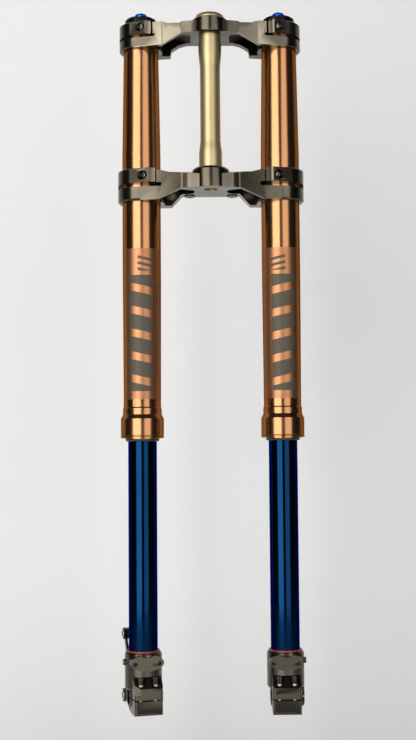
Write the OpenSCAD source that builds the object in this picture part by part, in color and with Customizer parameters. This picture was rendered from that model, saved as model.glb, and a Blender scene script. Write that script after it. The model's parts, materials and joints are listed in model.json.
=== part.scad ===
// Upside-down motorcycle fork: two telescopic legs held by an upper and a lower
// clamp on a hollow steering stem.
// X runs along the axle to the right leg, Y away from the stem to the legs, Z up.
// The origin is on the steering axis, at the bearing seat on top of the lower clamp.

/* [Layout] */
// Distance between the two leg axes
leg_spacing = 210; // [204:1:216]
// Distance of the leg axes in front of the steering axis
leg_offset = 25; // [24:0.5:26]
// Height of the upper clamp's ring above the lower clamp
upper_top = 224; // [220:1:230]
// How far each lower leg slides up into its outer tube
leg_travel = 290; // [200:5:290]
// Turn of the left lower leg about its own axis, in degrees
left_turn = 15; // [0:1:15]

/* [Tubes] */
// Outer diameter of the inner tubes
inner_tube_d = 43; // [43:0.5:43]
// Wall of the inner tubes
inner_tube_wall = 2; // [1.5:0.25:2]
// Outer diameter of the outer tubes in the upper clamp
outer_top_d = 53; // [52:0.5:54]
// Outer diameter of the outer tubes in the lower clamp
outer_low_d = 58; // [57:0.5:59]
// Bore of the outer tubes
outer_bore_d = 47; // [47:0.5:47]
// Outer diameter of the seal housing at the foot of the outer tubes
flare_d = 64.5; // [63:0.5:66]
// Height of the lower rim of the outer tubes
flare_bottom = -401; // [-405:1:-398]

/* [Clamps] */
// Outer radius of the rings of the upper clamp
upper_ring_r = 32.6; // [32:0.2:33.6]
// Outer radius of the rings of the lower clamp
lower_ring_r = 35.4; // [35:0.2:36.4]
// Height of the rings of the upper clamp
upper_ring_h = 39; // [38:1:41]
// Height of the rings of the lower clamp
lower_ring_h = 48; // [46:1:50]
// Width of the level slots in the rings of the upper clamp
upper_slot_w = 4; // [3:0.5:5]
// Width of the level slots in the rings of the lower clamp
lower_slot_w = 6; // [5:0.5:6]

/* [Steering stem] */
// Radius of the bearing seats
seat_r = 17.2; // [16.5:0.1:17.5]
// Radius of the waist between the seats
waist_r = 15.1; // [14:0.1:15.5]
// Radius of the stem inside both clamps
stem_core_r = 15; // [14.5:0.1:15]
// Radius of the bore through the stem
stem_bore_r = 10.4; // [9:0.1:11]

/* [Axle lugs] */
// Height of the axle from the lugs' upper rim
axle_z = -64.5; // [-65:0.5:-64]
// Radius of the axle's clamp bore
axle_r = 12.5; // [10:0.5:13]
// Outer radius of the socket that holds the inner tube
socket_r = 27.4; // [27:0.1:27.6]
// Distance between the two guard holes on the front pad
guard_hole_gap = 36; // [34:1:38]

/* [Hidden] */
$fn = 96;

LEFT = -1;
RIGHT = 1;
leg_x = leg_spacing / 2;

// Clearance of running fits, on the radius
run = 0.05;
// Wide clearance where seals only nearly touch a sliding tube
seal_gap = 0.3;

inner_r = inner_tube_d / 2;
inner_bore_r = inner_r - inner_tube_wall;
outer_bore_r = outer_bore_d / 2;
tube_top = upper_top + 1;
cap_top = upper_top + 11.7;
cap_floor = upper_top - 19;

lower_bottom = -lower_ring_h;
upper_bottom = upper_top - upper_ring_h;
upper_boss_top = upper_top + 2;
upper_boss_bottom = upper_top - 19.5;
lower_boss_bottom = -31.3;
boss_r = 28;

flare_r = flare_d / 2;
seal_bore_r = 27.4;
seal_top = flare_bottom + 21.5;
bush_bore_r = 24.9;
bush_h = 20;
oil_seal_h = 10.5;
clip_wire_r = 0.9;
washer_h = 1.5;

// Height of the lugs' rim, with the seal's lip and 19.5 mm of tube above it at full travel
lip_h = 5;
bare_tube_h = 19.5;
lug_top = flare_bottom - lip_h - bare_tube_h - leg_travel;
inner_tube_top = -95;
inner_tube_foot = lug_top - 39.5;
spring_top = 60;
head_top = -400;
head_flange_h = 15;
head_plug_h = 12;
damper_tube_r = 12;
damper_bore_r = 10.5;
lug_floor = inner_tube_foot - 6;
rod_r = 6;
piston_top = -431;
piston_h = 14;
foot_plug_top = inner_tube_foot + 13;
spring_r = 15.6;
wire_r = 2.2;
spring_turns = 30;

// Places on the axle lug, from the leg's axis and the lug's rim
pad_z = -13.8;
pad_y = -30.5;
pad_half_w = 24.6;
pad_half_h = 11.8;
hub_r = 17;
hub_out = -22.5;
hub_l = 49;
wall_foot = -50.5;
shelf_back = -33;
shelf_front = -47.5;
split_z = -65.3;
split_w = 2;
block_half_w = 20.8;
block_front = -42;
block_bottom = -86.5;
nub_z = -14.5;
bolt_head_r = 5;
bolt_head_h = 6;
bolt_r = 3;
key_r = 2.9;

ear_y = 42;
ear_x = -22.5;
ear_l = 9;
ear_upper_z = 21;
ear_lower_z = -70.5;
flange_h = 1;
ear_bush_r = 6;
ear_bolt_r = 4;

arm_split_y = 8;
upper_boss_r = 27;
pinch_tilt = 33;
pinch_length = 26;
lower_seat = [9.3, 35.9];
lower_bolt_z = -11.8;
upper_seat = [6, 32.3];
upper_bolt_z = upper_top - 10;
bar_hole_x = 53;
bar_hole_y = 8;
bar_hole_r = 5;
guard_boss_x = 32.5;
guard_boss_y = 47;
upper_arm_low = upper_boss_bottom - 1.2;
spacer_bottom = upper_boss_bottom - 13.7;
nut_r = 22.3;
nut_h = 8.7;
stem_reach = 5.5;
cap_r = 24;
o_ring_r = 22;
o_ring_z = cap_floor + 9;
knob_r = 10;
knob_pin_r = 3;
knob_pin_l = 20;
clip_z = seal_top - washer_h - oil_seal_h - clip_wire_r;
clip_groove_r = 28.2;
guide_low = -112;
guide_high = -98;
bush_groove_r = 20.6;
foot_stub_r = 9;
foot_flange_top = inner_tube_foot + 6;
axle_bolt_x = 11;
axle_bolt_y = -33.5;
axle_bolt_z = -48.5;
axle_bolt_l = 28;
milled_turn = 30;
milled_depth = 42.5;
milled_foot = -56.5;

copper = "#a9683d";
gunmetal = "#4b4740";
champagne = "#c9b88a";
steel = "#b9bcc0";
rubber = "#1a1a1c";
bronze = "#9a7a45";

// Moves a shape from the stem to the axis of one leg.
module at_leg(side) {
    translate([side * leg_x, leg_offset, 0]) children();
}

// Moves a shape to one leg and turns it with the lower leg.
module at_lower_leg(side) {
    at_leg(side) rotate([0, 0, side == LEFT ? left_turn : 0]) children();
}

// Moves a shape to the rim of one leg's lug.
module at_lug(side) {
    at_lower_leg(side) translate([0, 0, lug_top]) children();
}

// Solid of revolution about Z from an outline of [radius, height] points.
module turned(outline) {
    rotate_extrude() polygon(outline);
}

// Plain tube between two heights.
module sleeve(outer, inner, low, high) {
    translate([0, 0, low]) difference() {
        cylinder(r = outer, h = high - low);
        translate([0, 0, -1]) cylinder(r = inner, h = high - low + 2);
    }
}

// Wall that fills an outline in X and Z and reaches from y0 to y1.
module xz_wall(outline, y0, y1) {
    translate([0, y1, 0]) rotate([90, 0, 0]) linear_extrude(y1 - y0) polygon(outline);
}

// Bar that fills an outline in Y and Z and reaches from x0 to x1.
module yz_bar(outline, x0, x1) {
    translate([x0, 0, 0]) rotate([90, 0, 90]) linear_extrude(x1 - x0) polygon(outline);
}

// A shape and its mirror image on the other side of the stem.
module both_sides() {
    children();
    mirror([1, 0, 0]) children();
}

// Socket head screw along +Z, with its seat at the origin and its shank below.
module cap_screw(length) {
    difference() {
        union() {
            cylinder(r = bolt_head_r, h = bolt_head_h);
            translate([0, 0, -length]) cylinder(r = bolt_r, h = length);
        }
        translate([0, 0, bolt_head_h - 3.5]) cylinder(r = key_r, h = 4, $fn = 6);
    }
}

// Point of a ring's outline: inboard and near distance from the right leg's axis.
function uv(inboard, near) = [-inboard, -near];

// Places a screw for the right ring: its seat, its height and its turn inboard.
module at_pinch_bolt(seat, z, tilt) {
    translate([leg_x - seat[0], leg_offset - seat[1], z])
        rotate([0, 0, -tilt]) rotate([0, 90, 0]) children();
}

// ---- Clamps -------------------------------------------------------------

// Ring with chamfered edges and a thickened finger that carries the pinch bolt.
module clamp_ring(ring_r, low, high, foot_chamfer, finger, finger_low) {
    at_leg(RIGHT) {
        turned([[0, low], [ring_r - foot_chamfer, low], [ring_r, low + foot_chamfer],
                [ring_r, high - 1.2], [ring_r - 1.2, high], [0, high]]);
        translate([0, 0, finger_low]) linear_extrude(high - 1 - finger_low) polygon(finger);
    }
}

// Slots that let a ring close on its tube: a level one around its near and outer
// side, with a round end, and an upright gap between the finger and the arm.
module ring_slots(ring_r, slot_z, slot_w, slot_end, gap_from, gap_to) {
    reach = ring_r + 20;
    at_leg(RIGHT) {
        translate([-slot_end, -reach, slot_z]) cube([reach + slot_end, reach, slot_w]);
        translate([-slot_end, 0, slot_z + slot_w / 2]) rotate([90, 0, 0])
            cylinder(r = slot_w / 2, h = reach);
        translate([-gap_to, -reach, slot_z + slot_w / 2]) cube([gap_to - gap_from, reach, reach]);
    }
}

// Pocket for a pinch bolt's head and the hole for its shank.
module pinch_hole(seat, z, tilt, pocket_r) {
    at_pinch_bolt(seat, z, tilt) {
        cylinder(r = pocket_r, h = 30);
        translate([0, 0, -pinch_length]) cylinder(r = bolt_r, h = pinch_length + 1);
    }
}

// Right half of an arm: its plan cut by one side view near the stem's rear and by
// another on the far side, where the wall reaches deeper.
module arm(plan, near_view, far_view, low, high) {
    intersection() {
        translate([0, 0, low]) linear_extrude(high - low) polygon(plan);
        union() {
            xz_wall(near_view, -60, arm_split_y);
            xz_wall(far_view, arm_split_y, 60);
        }
    }
}

// Pocket milled into an arm from below, which leaves the ring's wall standing.
module arm_pocket(outline, low, roof, ring_r) {
    difference() {
        translate([0, 0, low - 5]) linear_extrude(roof - low + 5) polygon(outline);
        at_leg(RIGHT) translate([0, 0, low - 10]) cylinder(r = ring_r, h = 200);
    }
}

// Lower clamp: a solid centre around the stem, arms hollowed from below and a
// split ring at each end.
module lower_clamp() {
    slot_z = lower_bottom + 20;
    finger = [uv(-16.2, 31.5), uv(12, 44), uv(15, 42.6), uv(15.3, 40), uv(22.4, 40.3),
              uv(22.4, 20), uv(-10, 20)];
    near_edge = [[0, -22.5], [16.8, -22.5], [26.5, -20], [31.3, -19.8], [34.8, -18.9],
                 [41.4, -14.9], [44.4, -14.2], [81.2, -13.5],
                 [leg_x, leg_offset - lower_ring_r + 0.1]];
    far_edge = [[leg_x, 57], [76, 56], [60, 54], [0, 54]];
    near_view = [[0, lower_boss_bottom], [45, lower_boss_bottom], [47, -32.3], [80.5, lower_bottom],
                 [leg_x, lower_bottom], [leg_x, -3.3], [76, -3.6], [62, -7], [48, -7.5], [0, -7.5]];
    far_view = [[0, lower_boss_bottom], [44, lower_boss_bottom], [59.5, lower_bottom],
                [leg_x, lower_bottom], [leg_x, -3.3], [76, -3.6], [60, -8], [0, -8]];
    pocket = [[24, 12], [27, 5], [36, 0], [46, -5], [80, -6], [80, 36], [62, 36],
              [48, 31], [33, 31], [26, 24]];
    color(gunmetal) difference() {
        union() {
            both_sides() {
                difference() {
                    arm(concat(near_edge, far_edge), near_view, far_view, lower_bottom, 0);
                    yz_bar([[-30, -15], [-13, -7.4], [-13, 2], [-30, 2]], -1, 47);
                }
                clamp_ring(lower_ring_r, lower_bottom, 0, 2.5, finger, slot_z + lower_slot_w);
                translate([guard_boss_x, guard_boss_y, lower_boss_bottom - 1.5])
                    cylinder(r = 8, h = 8);
            }
            turned([[0, lower_boss_bottom], [boss_r, lower_boss_bottom], [boss_r, -4],
                    [boss_r - 1.5, -1.5], [boss_r - 4, 0], [0, 0]]);
        }
        translate([0, 0, -60]) cylinder(r = stem_core_r, h = 80);
        both_sides() {
            arm_pocket(pocket, lower_bottom, -16.5, lower_ring_r);
            at_leg(RIGHT) translate([0, 0, lower_bottom - 5])
                cylinder(r = outer_low_d / 2, h = lower_ring_h + 10);
            ring_slots(lower_ring_r, slot_z, lower_slot_w, 28.6, 22.4, 24.3);
            pinch_hole(lower_seat, lower_bolt_z, pinch_tilt, 7);
            translate([guard_boss_x, guard_boss_y, lower_boss_bottom - 3]) cylinder(r = 3, h = 13);
        }
    }
}

// Upper clamp: a raised boss for the stem nut, arms with a seat for the handlebar
// mounts and a split ring at each end.
module upper_clamp() {
    slot_z = upper_top - 25;
    arm_top = upper_top - 3.6;
    finger = [uv(-15, 28.9), uv(8.2, 40), uv(10.7, 39), uv(10.9, 37), uv(16.6, 37.2),
              uv(16.6, 20), uv(-10, 20)];
    near_edge = [[0, -19], [29, -19], [41.5, -15.8], [71, -14], [71.8, -17.3],
                 [leg_x + 9.4, leg_offset - 30.9]];
    far_edge = [[leg_x, 57], [78, 55], [61, 52], [44, 47], [30, 46], [0, 46]];
    seat_top = [[67, arm_top], [65, arm_top - 2], [45, arm_top - 2], [43, arm_top], [0, arm_top]];
    near_view = concat([[0, upper_arm_low], [43, upper_arm_low], [71, upper_bottom + 1], [71.8, upper_bottom],
                        [120, upper_bottom], [120, arm_top]], seat_top);
    far_view = concat([[0, upper_arm_low], [36, upper_arm_low], [48, upper_arm_low - 3],
                       [59, upper_arm_low - 9],
                       [60.5, upper_bottom], [leg_x, upper_bottom], [leg_x, arm_top]], seat_top);
    pocket = [[32, -6], [44, -7], [80, -8], [80, 38], [62, 38], [44, 34], [30, 32], [29, 6]];
    color(gunmetal) difference() {
        union() {
            both_sides() {
                arm(concat(near_edge, far_edge), near_view, far_view, upper_bottom, upper_top);
                clamp_ring(upper_ring_r, upper_bottom, upper_top, 1.2, finger, slot_z + upper_slot_w);
            }
            turned([[0, upper_boss_bottom], [upper_boss_r, upper_boss_bottom],
                    [upper_boss_r, upper_boss_top - 1.5], [upper_boss_r - 1.5, upper_boss_top],
                    [0, upper_boss_top]]);
        }
        translate([0, 0, upper_bottom - 5]) cylinder(r = stem_core_r, h = 80);
        both_sides() {
            arm_pocket(pocket, upper_bottom, upper_top - 14, upper_ring_r);
            at_leg(RIGHT) translate([0, 0, upper_bottom - 5])
                cylinder(r = outer_top_d / 2, h = upper_ring_h + 10);
            ring_slots(upper_ring_r, slot_z, upper_slot_w, 20.8, 16.6, 19.6);
            pinch_hole(upper_seat, upper_bolt_z, pinch_tilt, 6.4);
            translate([bar_hole_x, bar_hole_y, upper_bottom]) cylinder(r = bar_hole_r, h = 60);
        }
    }
}

// Pinch bolts of the lower clamp, one in each ring.
module lower_clamp_bolts() {
    color(steel) both_sides()
        at_pinch_bolt(lower_seat, lower_bolt_z, pinch_tilt) cap_screw(pinch_length);
}

// Pinch bolts of the upper clamp, one in each ring.
module upper_clamp_bolts() {
    color(steel) both_sides()
        at_pinch_bolt(upper_seat, upper_bolt_z, pinch_tilt) cap_screw(pinch_length);
}

// ---- Steering stem ------------------------------------------------------

// Hollow stem: pressed into the lower clamp, with a bearing seat at each end and
// a thread through the upper clamp.
module steering_stem() {
    color(champagne) difference() {
        turned([[0, lower_boss_bottom], [stem_core_r, lower_boss_bottom], [stem_core_r, 0],
                [seat_r, 0], [seat_r, 24], [waist_r, 42], [waist_r, upper_top - 70],
                [seat_r, upper_top - 48], [seat_r, spacer_bottom], [stem_core_r, spacer_bottom],
                [stem_core_r, upper_boss_top + stem_reach], [0, upper_boss_top + stem_reach]]);
        translate([0, 0, lower_boss_bottom - 5]) cylinder(r = stem_bore_r, h = 300);
    }
}

// Spacer between the upper bearing seat and the upper clamp.
module bearing_spacer() {
    color(champagne) sleeve(seat_r - 0.8, stem_core_r, spacer_bottom, upper_arm_low);
}

// Domed nut on top of the stem, with a hexagon socket.
module stem_nut() {
    low = upper_boss_top;
    color(champagne) difference() {
        turned([[stem_core_r, low], [nut_r, low], [nut_r, low + 2],
                for (a = [15 : 15 : 75]) [nut_r - 6 + 6 * cos(a), low + 2 + (nut_h - 2) * sin(a)],
                [nut_r - 7, low + nut_h], [0, low + nut_h], [0, low + stem_reach],
                [stem_core_r, low + stem_reach]]);
        translate([0, 0, low + stem_reach - 1]) cylinder(r = 9.8, h = 8, $fn = 6);
    }
}

// ---- Outer tubes and what is fixed in them --------------------------------

// Outer tube: widest between the clamps and the band below, with a stepped
// seal housing at its foot.
module outer_tube() {
    low_r = outer_low_d / 2;
    color(copper) difference() {
        turned([[outer_bore_r, tube_top], [outer_top_d / 2 - 0.8, tube_top],
                [outer_top_d / 2, tube_top - 0.8], [outer_top_d / 2, upper_bottom - 4],
                [low_r, 24], [low_r, -150], [low_r - 1, flare_bottom + 56],
                [low_r - 1, flare_bottom + 46], [low_r, flare_bottom + 44],
                [low_r, flare_bottom + 35], [flare_r - 0.8, flare_bottom + 30],
                [flare_r, flare_bottom + 28.5], [flare_r, flare_bottom + 4],
                [flare_r - 0.6, flare_bottom + 3.4], [flare_r - 0.6, flare_bottom + 2.6],
                [flare_r + 0.5, flare_bottom + 2], [flare_r + 0.5, flare_bottom + 0.5],
                [flare_r, flare_bottom], [seal_bore_r, flare_bottom], [seal_bore_r, clip_z - clip_wire_r],
                [clip_groove_r, clip_z - clip_wire_r], [clip_groove_r, clip_z + clip_wire_r],
                [seal_bore_r, clip_z + clip_wire_r], [seal_bore_r, seal_top], [bush_bore_r, seal_top],
                [bush_bore_r, seal_top + bush_h], [outer_bore_r, seal_top + bush_h]]);
    }
}

// Cap screwed into the top of the outer tube, with castle notches for its tool.
module fork_cap() {
    color("#141416") difference() {
        turned([[0, cap_floor], [outer_bore_r, cap_floor], [outer_bore_r, o_ring_z],
                [o_ring_r, o_ring_z], [o_ring_r, o_ring_z + 3], [outer_bore_r, o_ring_z + 3],
                [outer_bore_r, tube_top], [cap_r, tube_top], [cap_r, cap_top - 2],
                [cap_r - 1.5, cap_top], [0, cap_top]]);
        for (a = [0 : 60 : 300]) rotate([0, 0, a + 25])
            translate([cap_r - 3, -2.5, cap_top - 7]) cube([10, 5, 10]);
        translate([0, 0, cap_floor - 1]) cylinder(r = rod_r, h = 9);
        translate([0, 0, cap_floor - 1]) cylinder(r = knob_pin_r + run, h = 60);
    }
}

// Ring that seals the cap in the outer tube.
module cap_o_ring() {
    color(rubber) sleeve(outer_bore_r, o_ring_r, o_ring_z, o_ring_z + 3);
}

// Blue knob that turns the damping adjuster inside the cap.
module adjuster_knob() {
    base = cap_top + 0.3;
    color("#1557c8") difference() {
        turned([[0, base - knob_pin_l], [knob_pin_r, base - knob_pin_l], [knob_pin_r, base],
                [knob_r, base], [knob_r, base + 6], [knob_r - 1.4, base + 8.4],
                [knob_r - 3.5, base + 9.6], [0, base + 10]]);
        for (a = [0 : 45 : 315]) rotate([0, 0, a + 20])
            translate([knob_r + 1.4, 0, base - 1]) cylinder(r = 2, h = 6, $fn = 24);
        translate([-5, -0.8, base + 8.6]) cube([10, 1.6, 3]);
    }
}

// Tube that sets the preload between the cap and the spring.
module preload_spacer() {
    color("#c9ccd0") sleeve(spring_r + 2.4, spring_r - 0.6, spring_top, cap_floor);
}

// Rod of the damper, held in the cap and carrying the piston at its foot.
module damper_rod() {
    color(steel) translate([0, 0, piston_top - piston_h - 4])
        cylinder(r = rod_r, h = cap_floor + 8 - piston_top + piston_h + 4);
}

// Piston that slides in the damper tube.
module damper_piston() {
    color(bronze) difference() {
        sleeve(damper_bore_r - run, rod_r, piston_top - piston_h, piston_top);
        for (a = [0 : 60 : 300]) rotate([0, 0, a])
            translate([rod_r + 2.2, 0, piston_top - piston_h - 1])
                cylinder(r = 1, h = piston_h + 2, $fn = 24);
    }
}

// Bush in the foot of the outer tube that guides the inner tube.
module outer_bush() {
    color(bronze) sleeve(bush_bore_r, inner_r + run, seal_top, seal_top + bush_h);
}

// Washer that backs the oil seal.
module seal_washer() {
    color(steel) sleeve(seal_bore_r, inner_r + seal_gap, seal_top - washer_h, seal_top);
}

// Oil seal with a hollow underside and its lip facing the oil.
module oil_seal() {
    high = seal_top - washer_h;
    low = high - oil_seal_h;
    color(rubber) turned([[inner_r + seal_gap, low], [inner_r + 1.5, low], [inner_r + 1.5, low + 4],
                          [seal_bore_r - 1.5, low + 4], [seal_bore_r - 1.5, low], [seal_bore_r, low],
                          [seal_bore_r, high], [inner_r + 1.2, high], [inner_r + seal_gap, high - 3]]);
}

// Spring wire that snaps into the outer tube under the oil seal.
module seal_clip() {
    inner = clip_groove_r - 1.6;
    color(steel) turned([[clip_groove_r, clip_z - clip_wire_r], [clip_groove_r, clip_z + clip_wire_r],
                         [inner, clip_z + clip_wire_r], [inner, clip_z - clip_wire_r]]);
}

// Dust seal at the mouth of the outer tube, with a lip below the rim.
module dust_seal() {
    low = flare_bottom - lip_h;
    color(rubber) turned([[inner_r + seal_gap, low], [inner_r + 2.5, low], [inner_r + 3.7, low + 1.5],
                          [inner_r + 3.7, flare_bottom], [seal_bore_r, flare_bottom],
                          [seal_bore_r, clip_z - clip_wire_r], [inner_r + 2.5, clip_z - clip_wire_r],
                          [inner_r + 2.5, flare_bottom + 1], [inner_r + seal_gap, flare_bottom]]);
}

// Height of the spring's wire after some turns, with a nearly closed turn at
// each end.
function coil_z(turn, low, high) =
    let (closed = 2.3 * wire_r, inner = spring_turns - 2)
    turn < 1 ? low + wire_r + closed * turn
    : turn > spring_turns - 1 ? high - wire_r - closed * (spring_turns - turn)
    : low + wire_r + closed + (turn - 1) * (high - low - 2 * wire_r - 2 * closed) / inner;

// Coil spring that supports the leg, wound from one wire.
module main_spring() {
    steps = 10 * spring_turns;
    sides = 6;
    points = [for (i = [0 : steps], k = [0 : sides - 1])
        let (turn = i / 10, round = 360 * k / sides, r = spring_r + wire_r * cos(round))
        [r * cos(360 * turn), r * sin(360 * turn), coil_z(turn, head_top, spring_top) + wire_r * sin(round)]];
    skin = [for (i = [0 : steps - 1], k = [0 : sides - 1])
        let (next = (k + 1) % sides)
        [i * sides + k, i * sides + next, (i + 1) * sides + next, (i + 1) * sides + k]];
    color("#8f9499") polyhedron(points, concat(
        [[for (k = [sides - 1 : -1 : 0]) k]], skin, [[for (k = [0 : sides - 1]) steps * sides + k]]));
}

// ---- Lower legs -----------------------------------------------------------

// Bush carried near the top of the inner tube, which slides in the outer tube.
module guide_bush() {
    color(bronze) sleeve(outer_bore_r - run, bush_groove_r + run,
                         guide_low + seal_gap, guide_high - seal_gap);
}

// Inner tube: slides in the bushes and stands in the axle lug.
module inner_tube() {
    color("#16347c") turned([
        [inner_bore_r, inner_tube_foot], [inner_r, inner_tube_foot], [inner_r, guide_low],
        [bush_groove_r, guide_low], [bush_groove_r, guide_high], [inner_r, guide_high],
        [inner_r, inner_tube_top - 1], [inner_r - 0.5, inner_tube_top], [inner_bore_r, inner_tube_top]]);
}

// Red ring on the lug's rim that stops the outer tube gently at full travel.
module lug_ring() {
    color("#c02a22") sleeve(24.6, inner_r, 0, 2.6);
}

// Oval pad on the near side of the lug, with a dip in its upper edge.
module guard_pad() {
    translate([0, pad_y, pad_z + 1]) rotate([-90, 0, 0]) linear_extrude(18) difference() {
        polygon([for (a = [0 : 10 : 350]) [pad_half_w * cos(a), pad_half_h * sin(a)]]);
        translate([0, -pad_half_h - 12]) circle(r = 16.5);
    }
}

// Plan of the clamp block, with its upright near edges rounded.
module block_plan() {
    fillet = 4.5;
    translate([-block_half_w, block_front + fillet]) square([2 * block_half_w, 30 - block_front]);
    translate([fillet - block_half_w, block_front]) square([2 * (block_half_w - fillet), 10]);
    for (x = [-1, 1]) translate([x * (block_half_w - fillet), block_front + fillet]) circle(r = fillet);
}

// Clamp block at the foot of the lug, with a sloping shelf for the bolt heads.
module clamp_block() {
    low_r = 6;
    side_view = [[block_front, shelf_front], [-27.5, shelf_back], [12, shelf_back],
                 [hub_r, shelf_back - 11], [hub_r, axle_z],
                 for (a = [-20 : -20 : -60]) [hub_r * cos(a), axle_z + hub_r * sin(a)],
                 [4, axle_z - 20], [-18, block_bottom], [block_front + low_r, block_bottom],
                 for (a = [-110 : -20 : -170])
                     [block_front + low_r + low_r * cos(a), block_bottom + low_r + low_r * sin(a)]];
    intersection() {
        yz_bar(side_view, -block_half_w, block_half_w);
        translate([0, 0, block_bottom - 5]) linear_extrude(60) block_plan();
    }
}

// Flat bar across the lug, between two round ends given as [y, z, radius].
module ear_arm(x0, x1, foot, tip) {
    hull() for (end = [foot, tip])
        translate([x0, end[0], end[1]]) rotate([0, 90, 0]) cylinder(r = end[2], h = x1 - x0, $fn = 32);
}

// Ears for the brake caliper: a boss and an arm for each of its two bolts.
module caliper_ears() {
    for (ear = [[ear_upper_z, 8.5], [ear_lower_z, 10]])
        translate([ear_x, ear_y, ear[0]]) rotate([0, 90, 0]) cylinder(r = ear[1], h = ear_l);
    ear_arm(ear_x + 2, ear_x + 5.5, [19, -12, 5], [ear_y - 1, ear_upper_z - 4, 3.5]);
    ear_arm(ear_x + 2, ear_x + ear_l, [10, axle_z + 6, 11], [ear_y, ear_lower_z, 9]);
}

// Axle lug: socket for the inner tube, hub around the axle, split clamp block
// with two pinch bolts, and on the left the ears for the brake caliper.
module axle_lug(side) {
    color("#3d3a35") difference() {
        union() {
            turned([[0, wall_foot - 11], [18, wall_foot - 11], [socket_r - 3, wall_foot - 3.5],
                    [socket_r, wall_foot], [socket_r, -3], [socket_r - 1.5, 0], [0, 0]]);
            intersection() {
                sleeve(socket_r + 1, inner_r, shelf_back + 1, shelf_back + 4);
                translate([-16, -40, shelf_back]) cube([32, 40, 5]);
            }
            guard_pad();
            clamp_block();
            translate([hub_out, 0, axle_z]) rotate([0, 90, 0])
                turned([[0, 0], [hub_r - 2, 0], [hub_r, 2], [hub_r, hub_l - 2],
                        [hub_r - 2, hub_l], [0, hub_l]]);
            translate([side * (socket_r + 3), 0, nub_z]) rotate([0, -side * 90, 0])
                cylinder(r = 4.5, h = 10);
            if (side == LEFT) caliper_ears();
        }
        translate([0, 0, inner_tube_foot - lug_top]) cylinder(r = inner_r, h = 100);
        translate([0, 0, lug_floor - lug_top - 2]) cylinder(r = foot_stub_r, h = 20);
        translate([-60, 0, axle_z]) rotate([0, 90, 0]) cylinder(r = axle_r, h = 120);
        translate([-60, block_front - 5, split_z]) cube([120, -block_front + 5 - 6, split_w]);
        for (x = [-guard_hole_gap / 2, guard_hole_gap / 2]) translate([x, pad_y - 1, pad_z])
            rotate([-90, 0, 0]) {
                cylinder(r = 3, h = 12);
                cylinder(r = 4.4, h = 1.8);
            }
        for (x = [-axle_bolt_x, axle_bolt_x]) translate([x, axle_bolt_y, axle_bolt_z]) {
            cylinder(r = 6.2, h = 20);
            translate([0, 0, -axle_bolt_l]) cylinder(r = bolt_r, h = axle_bolt_l + 2);
        }
        if (side == LEFT) {
            for (z = [ear_upper_z, ear_lower_z])
                translate([ear_x - 5, ear_y, z]) rotate([0, 90, 0]) cylinder(r = ear_bush_r, h = ear_l + 10);
            rotate([0, 0, -milled_turn]) translate([-20, -milled_depth - 10, milled_foot]) cube([40, 10, 40]);
        }
    }
}

// Pinch bolts that close the split block on the axle.
module axle_bolts() {
    color(steel) for (x = [-axle_bolt_x, axle_bolt_x])
        translate([x, axle_bolt_y, axle_bolt_z]) cap_screw(axle_bolt_l);
}

// Flanged steel bushes for the caliper bolts in the two ears.
module caliper_bushes() {
    color(steel) for (z = [ear_upper_z, ear_lower_z])
        translate([ear_x - flange_h, ear_y, z]) rotate([0, 90, 0]) difference() {
            union() {
                cylinder(r = 7.4, h = flange_h);
                cylinder(r = ear_bush_r, h = ear_l + flange_h);
            }
            translate([0, 0, -1]) cylinder(r = ear_bolt_r, h = 20);
        }
}

// Tube of the damper, standing on its foot inside the inner tube.
module damper_tube() {
    color("#a7abb0") sleeve(damper_tube_r, damper_bore_r, foot_flange_top, head_top - head_flange_h);
}

// Head of the damper: guides the rod and carries the foot of the spring.
module damper_head() {
    flange_low = head_top - head_flange_h;
    color("#7a7e83") turned([
        [rod_r + run, flange_low - head_plug_h], [damper_bore_r, flange_low - head_plug_h],
        [damper_bore_r, flange_low], [spring_r + 1.9, flange_low], [spring_r + 1.9, head_top],
        [rod_r + run, head_top]]);
}

// Foot of the damper: screwed into the lug's floor and into the damper tube.
module damper_foot() {
    color("#7a7e83") turned([
        [0, lug_floor - 2], [foot_stub_r, lug_floor - 2], [foot_stub_r, inner_tube_foot],
        [damper_tube_r + 2, inner_tube_foot], [damper_tube_r + 2, foot_flange_top],
        [damper_bore_r, foot_flange_top], [damper_bore_r, foot_plug_top], [0, foot_plug_top]]);
}

upper_clamp();
lower_clamp();
steering_stem();
stem_nut();
bearing_spacer();
upper_clamp_bolts();
lower_clamp_bolts();
at_leg(LEFT) outer_tube();  // left_outer_tube
at_leg(RIGHT) outer_tube();  // right_outer_tube
at_leg(LEFT) fork_cap();  // left_fork_cap
at_leg(RIGHT) fork_cap();  // right_fork_cap
at_leg(LEFT) cap_o_ring();  // left_cap_o_ring
at_leg(RIGHT) cap_o_ring();  // right_cap_o_ring
at_leg(LEFT) adjuster_knob();  // left_adjuster_knob
at_leg(RIGHT) adjuster_knob();  // right_adjuster_knob
at_leg(LEFT) preload_spacer();  // left_preload_spacer
at_leg(RIGHT) preload_spacer();  // right_preload_spacer
at_leg(LEFT) main_spring();  // left_main_spring
at_leg(RIGHT) main_spring();  // right_main_spring
at_leg(LEFT) damper_rod();  // left_damper_rod
at_leg(RIGHT) damper_rod();  // right_damper_rod
at_leg(LEFT) damper_piston();  // left_damper_piston
at_leg(RIGHT) damper_piston();  // right_damper_piston
at_leg(LEFT) outer_bush();  // left_outer_bush
at_leg(RIGHT) outer_bush();  // right_outer_bush
at_leg(LEFT) seal_washer();  // left_seal_washer
at_leg(RIGHT) seal_washer();  // right_seal_washer
at_leg(LEFT) oil_seal();  // left_oil_seal
at_leg(RIGHT) oil_seal();  // right_oil_seal
at_leg(LEFT) seal_clip();  // left_seal_clip
at_leg(RIGHT) seal_clip();  // right_seal_clip
at_leg(LEFT) dust_seal();  // left_dust_seal
at_leg(RIGHT) dust_seal();  // right_dust_seal
at_leg(LEFT) guide_bush();  // left_guide_bush
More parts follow.
